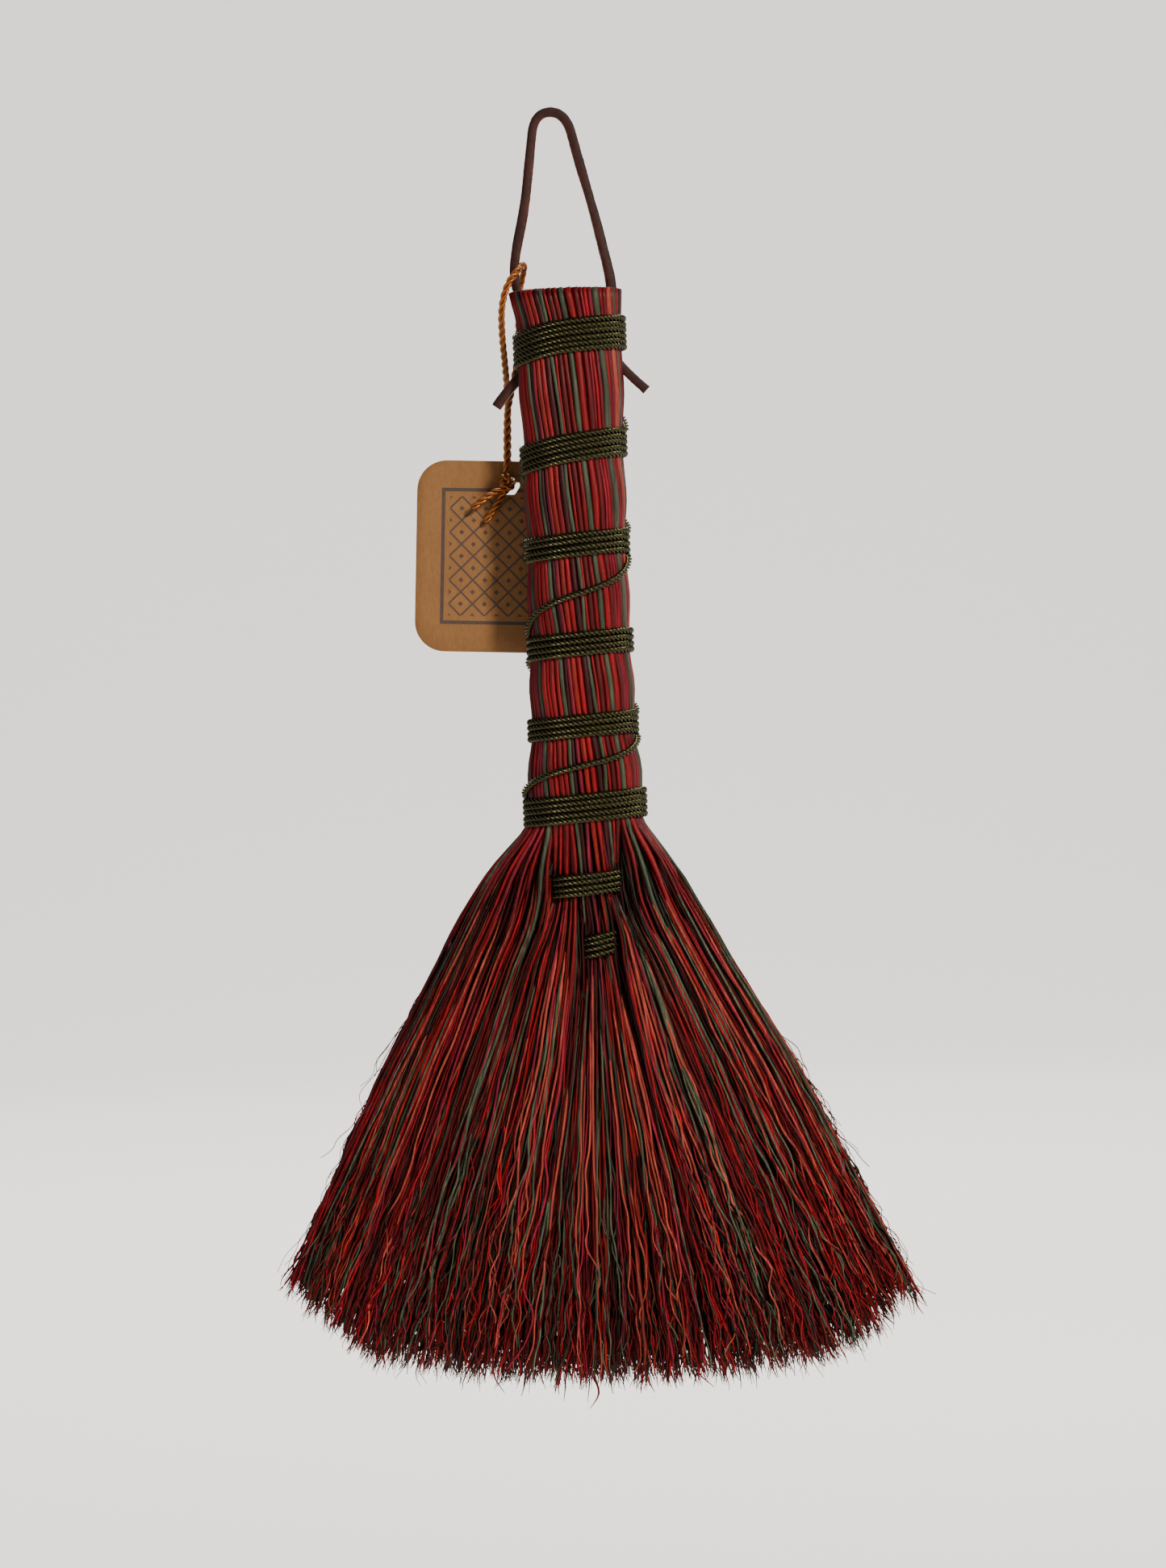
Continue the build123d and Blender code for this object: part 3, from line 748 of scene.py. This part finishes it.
MEAN_REACH = 13.5  # of the handle's section
HEART_REACH = 1.2  # where the rings of stalks end
OUTER_STALK, INNER_STALK = 0.66, 0.80  # mean radii
LEAST_STALK, MOST_STALK = 0.4, 1.0
SAGE_EVERY = 5  # about every fifth stalk of a ring is sage green


def lay_out_stalks():
    """Rings of uneven stalks: radius, ring share and angle of each, and whether it is sage green."""
    stalks = []
    ring = 1.0
    while MEAN_REACH * ring > HEART_REACH:
        mean = OUTER_STALK if ring == 1.0 else INNER_STALK
        place = ring - mean / MEAN_REACH
        around = 2 * math.pi * MEAN_REACH * place
        radii = []
        while sum(radii) * 2 < around:
            radii.append(float(np.clip(rng.lognormal(math.log(mean), 0.26), LEAST_STALK, MOST_STALK)))
        radii = np.array(radii)
        angles = (np.cumsum(2 * radii) - radii) / (2 * radii.sum()) * 2 * math.pi + rng.random() * 0.3
        green = SAGE_EVERY // 2
        for index, (radius, angle) in enumerate(zip(radii, angles)):
            stalks.append((radius, place + 0.25 * (mean - radius) / MEAN_REACH, angle, index == green))
            if index == green:
                green = green + SAGE_EVERY + rng.integers(-1, 2)
        ring = place - mean * 0.8 / MEAN_REACH
    return np.array(stalks)


TWIST = 0.95  # how far the stalks wind round the handle from its top to tie 6, in radians
TWIST_ABOVE = 0.15  # the share of it that lies above the place of a stalk's own angle
BUNDLE_EDGES = {"outer_bundle_left": -8.9, "flank_bundle_left": -3.4, "centre_bundle": 3.6,
                "flank_bundle_right": 9.2, "outer_bundle_right": math.inf}  # the right edge of each at tie 6
FAN_HALF_WIDTH = 15.85  # at tie 6


def stalk_bundle(angle, ring):
    """The bundle that a stalk belongs to, by its place across the handle at tie 6."""
    across = FAN_HALF_WIDTH * ring * math.cos(angle)
    return next(name for name, edge in BUNDLE_EDGES.items() if across < edge)


def pick_colour(shares):
    return PALETTE[rng.choice(len(PALETTE), p=shares / shares.sum())] * rng.uniform(0.75, 1.25)


def add_strands(name, lines, radii, sides, tints, material, nodes=()):
    """A piece made of strands, which moves with the broom."""
    piece = strand_mesh(name, np.array(lines), np.array(radii), sides, np.array(tints))
    finish_piece(piece, material, nodes, "broom")


def waves(distance, sizes, lengths):
    """Uneven waves along a strand, each with its own phase."""
    total = np.zeros_like(distance)
    for size, length in zip(sizes, lengths):
        actual = length * rng.uniform(0.75, 1.3)
        total += size * np.sin(2 * math.pi * distance / actual + rng.uniform(0, 6.28))
    return total


HANDLE_HEIGHTS = np.linspace(HANDLE_TOP, FAN_TOP, 46)
STEM_HEIGHTS = 26
STALK_SWELL = 1.06  # so that neighbours press against each other
SETTLING = 12.0  # over which a stalk goes from its place in the handle to the one in its bundle
DEEP_RING = 0.86  # stalks inside this ring are darker


def make_stalks():
    """Stalks from the handle's flat top to the fan, where they thin out; gives their places there."""
    found = {name: [] for name in BUNDLES}
    for radius, ring, angle, green in lay_out_stalks():
        last = angle + TWIST * (1 - TWIST_ABOVE)
        found[stalk_bundle(last, ring)].append([radius, ring, angle, green, last])
    down = (HANDLE_TOP - HANDLE_HEIGHTS) / (HANDLE_TOP - FAN_TOP)
    middle, half_width, half_depth = handle_section(HANDLE_HEIGHTS)
    whole = np.ones(len(HANDLE_HEIGHTS))
    fade = np.concatenate([whole, np.linspace(1, 0.8, STEM_HEIGHTS)])
    stems = {}
    for name, members in found.items():
        members.sort(key=lambda member: member[1] * math.cos(member[4]))
        lines, radii, tints, places = [], [], [], []
        for index, (radius, ring, angle, green, last) in enumerate(members):
            rank = 2 * (index + 0.5) / len(members) - 1
            deep = ring * math.sin(last)
            room = max(0.25, math.sqrt(1 - min(0.95, (ring * math.cos(last)) ** 2)))
            q = float(np.clip(deep / room, -0.97, 0.97))
            sway = rng.normal(0, 0.014) * np.sin(down * rng.uniform(8, 24))
            turned = angle + TWIST * (down - TWIST_ABOVE) + sway
            upper = np.stack([middle + half_width * ring * np.cos(turned), half_depth * ring * np.sin(turned),
                              HANDLE_HEIGHTS], axis=1)
            stop = rng.uniform(-335, -236)
            z = np.linspace(FAN_TOP, stop, STEM_HEIGHTS + 1)[1:]
            fan_x, fan_y = bundle_place(name, rank, q, z)
            gap = upper[-1, :2] - bundle_place(name, rank, q, FAN_TOP)
            settle = np.clip((FAN_TOP - z) / SETTLING, 0, 1)
            settle = settle * settle * (3 - 2 * settle)
            further = FAN_TOP - z
            wander = np.clip(further / 90, 0, 1)
            fan_x = fan_x + gap[0] * (1 - settle) + wander * waves(further, (0.9, 0.25), (70, 24))
            fan_y = fan_y + gap[1] * (1 - settle) + wander * waves(further, (0.6, 0.2), (60, 22))
            line = np.concatenate([upper, np.stack([fan_x, fan_y, z], axis=1)])
            thinner = 1 - 0.75 * np.clip(further / (FAN_TOP - stop), 0, 1) ** 0.55
            thin = np.concatenate([whole, thinner])
            pinch = 1 - 0.05 * np.cos((line[:, 2] + radius * 40) / 3.1)
            tint = PALETTE[SAGE] * rng.uniform(0.75, 1.2) if green else pick_colour(STALK_SHARES) * 0.85
            # Painted shade: stalks deep inside the handle are darkened.
            if ring < DEEP_RING:
                tint = tint * 0.75
            lines.append(line)
            radii.append(radius * STALK_SWELL * thin * pinch)
            tints.append(tint[None] * fade[:, None])
            places.append((rank, tint))
        add_strands(f"stalks_{name}", lines, radii, 7, tints, STALK, [name])
        stems[name] = places
    return stems


def edge_height(x):
    return np.interp(x, FAN_EDGE[:, 0], FAN_EDGE[:, 1])


FIBRES_PER_MM = 19.0  # of a bundle's width near the tips
FIBRE_RINGS = 44
FIBRE_SIDES = 4
MOST_IN_A_PIECE = 540  # so that a piece stays under 200,000 triangles
NEAR_TIPS = -350.0
TUFT = 2.6  # how far apart the tips gather
OVERLAP = 0.10  # how far a bundle's fibres reach into the next bundle, as a share of its half width


def fibre_line(name, rank, q, p_end, q_end, branch, end):
    """A fibre from its place on a stalk to its tip, straight at first and more crinkled further down."""
    share = np.linspace(0, 1, FIBRE_RINGS) ** 0.72
    distance = share * (branch - end)
    z = branch - distance
    ease = share ** 0.85
    sunk = 0.3 * np.clip(1 - distance / 16, 0, 1) ** 1.5
    x, y = bundle_place(name, rank + (p_end - rank) * ease, (q + (q_end - q) * ease) * (1 - sunk), z)
    grown = np.clip((distance - 12) / 80, 0, 1)
    late = grown * (0.45 + 0.75 * np.clip((share - 0.5) / 0.5, 0, 1))
    curl = float(np.clip(rng.lognormal(0.0, 0.5), 0.3, 3.0))
    x = x + grown * curl * waves(distance, (0.8,), (38,))
    x = x + late * curl * waves(distance, (0.5, 0.26), (17, 9.5))
    y = y + grown * curl * waves(distance, (0.7,), (34,))
    y = y + late * curl * waves(distance, (0.5, 0.28), (16, 9))
    # Near its tip a fibre leans into a tuft and flicks aside.
    gather = np.clip((share - 0.62) / 0.38, 0, 1) ** 1.5
    spot = round((x[-1] + rng.normal(0, 0.4)) / TUFT) * TUFT + 0.5 * math.sin(x[-1] * 2.3)
    x = x + gather * 0.55 * (spot - x[-1])
    flick = np.clip((share - 0.88) / 0.12, 0, 1) ** 2
    x = x + flick * rng.normal(0, 1.1)
    y = y + flick * rng.normal(0, 0.9)
    return np.stack([x, y, z], axis=1), share, distance


def rooted(distance):
    """How thick a fibre is near the start, where it comes out from between the stalks."""
    return np.clip(0.35 + distance / 12, 0, 1)


def make_fibres(stems):
    """Thin crinkled branches that leave the stalks in the fan and end along its ragged lower edge."""
    for name, places in stems.items():
        left, right = BUNDLES[name]
        count = int((right[7] - left[7]) * FIBRES_PER_MM)
        lowest_p = -1.0 if name == "outer_bundle_left" else -1.0 - OVERLAP
        highest_p = 1.0 if name == "outer_bundle_right" else 1.0 + OVERLAP
        lines, radii, tints = [], [], []
        for _ in range(count):
            rank, tint = places[rng.integers(len(places))]
            surface = rng.random() < 0.55
            start_p = float(np.clip(rank + rng.normal(0, 0.08), lowest_p, highest_p))
            if surface:
                start_q = math.copysign(rng.uniform(0.8, 1.0), rng.random() - 0.5)
            else:
                start_q = rng.uniform(-0.8, 0.8)
            p_end = float(np.clip(start_p * 0.95 + rng.normal(0, 0.13), lowest_p, highest_p))
            q_end = float(np.clip(start_q * 0.9 + rng.normal(0, 0.15), -1, 1))
            branch = rng.uniform(-262, -206) if rng.random() < 0.8 else rng.uniform(-305, -262)
            if name == "centre_bundle":
                branch -= 22
            tip_x = bundle_place(name, p_end, q_end, NEAR_TIPS)[0]
            tuft = math.sin(tip_x * 0.83) + 0.9 * math.sin(tip_x * 2.1 + 1)
            end = edge_height(tip_x) - 1.2 + tuft + abs(rng.normal(0, 3.3))
            if rng.random() < 0.2:
                end += rng.uniform(4, 60)
            elif rng.random() < 0.06:
                end -= rng.uniform(1, 4)
            branch = max(branch, end + 30)
            line, share, distance = fibre_line(name, start_p, start_q, p_end, q_end, branch, end)
            thick = rng.uniform(0.2, 0.36) if rng.random() < 0.78 else rng.uniform(0.34, 0.56)
            lines.append(line)
            taper = (1 - 0.5 * share ** 3) * rooted(distance) * np.clip((1.03 - share) / 0.08, 0, 1)
            radii.append(thick * taper * (1 + 0.1 * waves(distance, (1.0,), (14,))))
            shade = tint if rng.random() < 0.4 else pick_colour(FIBRE_SHARES)
            # Painted shade: fibres that end deep inside the fan, away from its front and back, are darker.
            shade = shade * rng.lognormal(-0.15, 0.4) * (0.2 + 0.8 * abs(q_end) ** 2)
            tints.append(shade[None] * (0.85 + 0.55 * share[:, None] ** 3))
        parts = math.ceil(count / MOST_IN_A_PIECE)
        for part in range(parts):
            add_strands(f"fibres_{name}_{part + 1}", lines[part::parts], radii[part::parts], FIBRE_SIDES,
                        tints[part::parts], FIBRE)


ACCENT_COLOURS = [SALMON, SAGE, MAGENTA, CRIMSON]
ACCENT_SHARES = [0.36, 0.30, 0.18, 0.16]
ACCENTS_PER_BUNDLE = 38
STRAYS = 34


def make_accents():
    """Longer, thicker strands that lie on the front and the back of the fan."""
    lines, radii, tints = [], [], []
    for name in BUNDLES:
        for index in range(ACCENTS_PER_BUNDLE):
            p = rng.uniform(-0.95, 0.95)
            side = math.copysign(1.0, index % 2 - 0.5)
            p_end = float(np.clip(p + rng.normal(0, 0.12), -1, 1))
            end = edge_height(bundle_place(name, p_end, 1.0, NEAR_TIPS)[0]) + abs(rng.normal(0, 12)) + 2
            branch = rng.uniform(-250, -214) - (20 if name == "centre_bundle" else 0)
            line, share, distance = fibre_line(name, p, side, p_end, side * 1.05, branch, end)
            lines.append(line)
            radii.append(rng.uniform(0.26, 0.44) * (1 - 0.5 * share ** 2) * rooted(distance))
            tint = PALETTE[rng.choice(ACCENT_COLOURS, p=ACCENT_SHARES)] * rng.uniform(0.8, 1.5)
            tints.append(np.repeat(tint[None], FIBRE_RINGS, axis=0))
    add_strands("surface_strands", lines, radii, 5, tints, FIBRE)


def make_strays():
    """Loose curly hairs that stand out at the fan's two sides."""
    lines, radii, tints = [], [], []
    for index in range(STRAYS):
        name, out = ("outer_bundle_right", 1.0) if index % 3 else ("outer_bundle_left", -1.0)
        branch = rng.uniform(-290, -225)
        end = max(branch - rng.uniform(35, 85), -335.0)
        q = rng.uniform(-0.4, 0.4)
        line, share, distance = fibre_line(name, out * 0.9, q, out, 0.0, branch, end)
        reach = rng.uniform(0.5, 3.2)
        line[:, 0] += out * reach * share ** 1.5 + share * waves(distance, (0.9, 0.5), (16, 7))
        line[:, 1] += share * waves(distance, (1.2, 0.5), (18, 8))
        lines.append(line)
        radii.append(rng.uniform(0.14, 0.24) * (1 - 0.5 * share))
        tints.append(np.repeat(pick_colour(FIBRE_SHARES)[None], FIBRE_RINGS, axis=0))
    add_strands("stray_hairs", lines, radii, FIBRE_SIDES, tints, FIBRE)


HEART_STRANDS = 620
HEART_RINGS = 22
HEART_END = -308
HEART_PAINTED_SHADE = 0.22
HEART_BLUR = 3.0


def make_heart():
    """Strands deep inside the fan, behind the gaps between its bundles, darkened with a painted shade."""
    lines, radii, tints = [], [], []
    for _ in range(HEART_STRANDS):
        across = rng.uniform(-1, 1)
        deep = rng.uniform(-0.5, 0.5)
        end = HEART_END + rng.uniform(-1, 1) * 14 - 18 * (1 - across ** 2)
        z = np.linspace(FAN_TOP - 3, end, HEART_RINGS)
        left = smooth_table(LEVELS, BUNDLES["outer_bundle_left"][0], z, HEART_BLUR)
        right = smooth_table(LEVELS, BUNDLES["outer_bundle_right"][1], z, HEART_BLUR)
        x = (left + right) / 2 + (right - left) / 2 * across * 0.93
        y = deep * smooth_table(LEVELS, DEPTHS["outer"], z, HEART_BLUR) * math.sqrt(1 - across ** 2 * 0.9)
        distance = FAN_TOP - z
        x = x + np.clip(distance / 60, 0, 1) * waves(distance, (0.9, 0.4), (45, 17))
        lines.append(np.stack([x, y, z], axis=1))
        radii.append(np.linspace(rng.uniform(0.4, 0.6), 0.2, HEART_RINGS))
        # The strands' colours carry a painted shade for the depth of the fan.
        tints.append(np.repeat(pick_colour(FIBRE_SHARES)[None] * HEART_PAINTED_SHADE, HEART_RINGS, axis=0))
    add_strands("inner_fibres", lines, radii, FIBRE_SIDES, tints, FIBRE)


make_fibres(make_stalks())
make_accents()
make_strays()
make_heart()

# ---- binding cord

# The olive cord's own colour on the plies' crowns, and the painted shade in the grooves between them.
OLIVE_LIGHT = np.array((0.0036, 0.0035, 0.0014))
OLIVE_GROOVE_SHADE = np.array((0.0004, 0.0004, 0.0003))
CORD_PITCH = 4.3
CORD_STEP = 0.45
TURN_STEP = 4.0  # degrees


def round_section(x, half_width, half_depth, angle, z):
    """Points of a cord that lies round an elliptical section."""
    turned = np.radians(angle)
    return np.stack([x + (half_width + CORD_REST) * np.cos(turned), (half_depth + CORD_REST) * np.sin(turned),
                     z], axis=-1)


def tie_line(tie):
    """The middle of a tie's cord, turn under turn."""
    x, z, width, depth, pitch, start, sweep, tilt, droop = tie
    angle = start - np.arange(0, sweep + TURN_STEP / 2, TURN_STEP)
    turns = (start - angle) / 360
    height = z + pitch * sweep / 720 - pitch * turns
    points = round_section(x, width / 2, depth / 2, angle, height)
    points[:, 2] += math.tan(math.radians(tilt)) * (points[:, 0] - x)
    points[:, 2] += 0.10 * np.sin(np.radians(angle) * 0.37 + z)
    points[:, 2] -= droop * np.clip(-np.cos(np.radians(angle)), 0, 1) ** 2
    return points


def crossing_line(above, below):
    """The cord's run from the end of one tie to the start of the next."""
    end_angle = above.start - above.sweep
    sweep = (end_angle - below.start) % 360
    angle = end_angle - np.arange(TURN_STEP, sweep, TURN_STEP)
    share = (end_angle - angle) / sweep
    first, last = tie_line(above)[-1:], tie_line(below)[:1]
    ease = share + 0.06 * np.sin(2 * math.pi * share)
    z = first[0, 2] + (last[0, 2] - first[0, 2]) * ease
    return np.concatenate([first, round_section(*handle_section(z), angle, z), last])


def outward(points, middle):
    """Directions away from the upright line through middle."""
    away = points - np.array((middle, 0, 0))
    away[:, 2] = 0
    return unit(away)


def binding_piece(node, line, start):
    """One stretch of the binding cord, which starts at start along it; gives the stretch's length."""
    line = resample(line, CORD_STEP)
    middle = TIES[-1].x if node == "tie_8" else HANDLE_X
    piece = twisted_mesh(f"cord_{node}", line, outward(line, middle), CORD_LOOK / 2, CORD_PITCH, OLIVE_LIGHT,
                         OLIVE_GROOVE_SHADE, start)
    finish_piece(piece, BINDING, [node], "broom")
    return length_along(line)[-1]


def make_binding():
    wound = 0.0
    for number, tie in enumerate(TIES, 1):
        wound += binding_piece(f"tie_{number}", tie_line(tie), wound)
        if number < len(HANDLE_TIES):
            wound += binding_piece(f"crossing_{number}_{number + 1}", crossing_line(tie, TIES[number]), wound)


make_binding()

# ---- stage and light

# In metres.
FLOOR_DROP = 0.22
FLOOR_RADIUS = 5.0
RIM_RISE = 3.0
FLOOR_SIDES = 96


def make_floor():
    """A pale floor that curves up far away on every side, so that no horizon shows."""
    turn = circle(FLOOR_SIDES)
    steps = np.linspace(0, math.pi / 2, 20)
    radii = np.concatenate([[0.5, 2.0, 3.5], FLOOR_RADIUS + RIM_RISE * np.sin(steps)])
    heights = np.concatenate([[0, 0, 0], RIM_RISE * (1 - np.cos(steps))]) + cad_low[2] - FLOOR_DROP
    rings = [np.stack([radius * np.cos(turn), radius * np.sin(turn), np.full(FLOOR_SIDES, height)], axis=1)
             for radius, height in zip(radii, heights)]
    vertices = np.concatenate(rings) / MM
    quads, caps = tube_faces(1, len(radii), FLOOR_SIDES)
    floor = build_mesh("floor", vertices, quads, caps[:1])
    nodes = Nodes("pale floor")
    nodes.set(Base_Color=(0.80, 0.785, 0.76, 1), Roughness=0.9)
    floor.data.materials.append(nodes.material)


def make_world():
    world = bpy.data.worlds.new("pale room")
    world.use_nodes = True
    background = world.node_tree.nodes["Background"]
    background.inputs[0].default_value = (1.0, 0.97, 0.93, 1)
    background.inputs[1].default_value = 0.10
    bpy.context.scene.world = world


def lamp(name, place, power, size, colour, aim=(0.0, 0.0, -0.19)):
    """A soft square light that faces the point aimed at."""
    data = bpy.data.lights.new(name, "AREA")
    data.energy = power
    data.size = size
    data.color = colour
    light = bpy.data.objects.new(name, data)
    bpy.context.scene.collection.objects.link(light)
    away = Vector(place) - Vector(aim)
    light.matrix_world = Matrix.Translation(place) @ away.to_track_quat("Z", "Y").to_matrix().to_4x4()


make_floor()
make_world()
lamp("key", (0.80, -1.30, 0.55), 36, 0.22, (1.0, 0.89, 0.76))
lamp("fill", (-1.4, -1.3, 0.1), 1.2, 1.2, (1.0, 0.95, 0.88))
lamp("back", (0.5, 1.6, 0.7), 10, 0.8, (1.0, 0.93, 0.85))
lamp("backdrop", (0.0, 2.5, 4.0), 640, 3.0, (1.0, 0.98, 0.95), aim=(0.0, 5.0, -1.0))
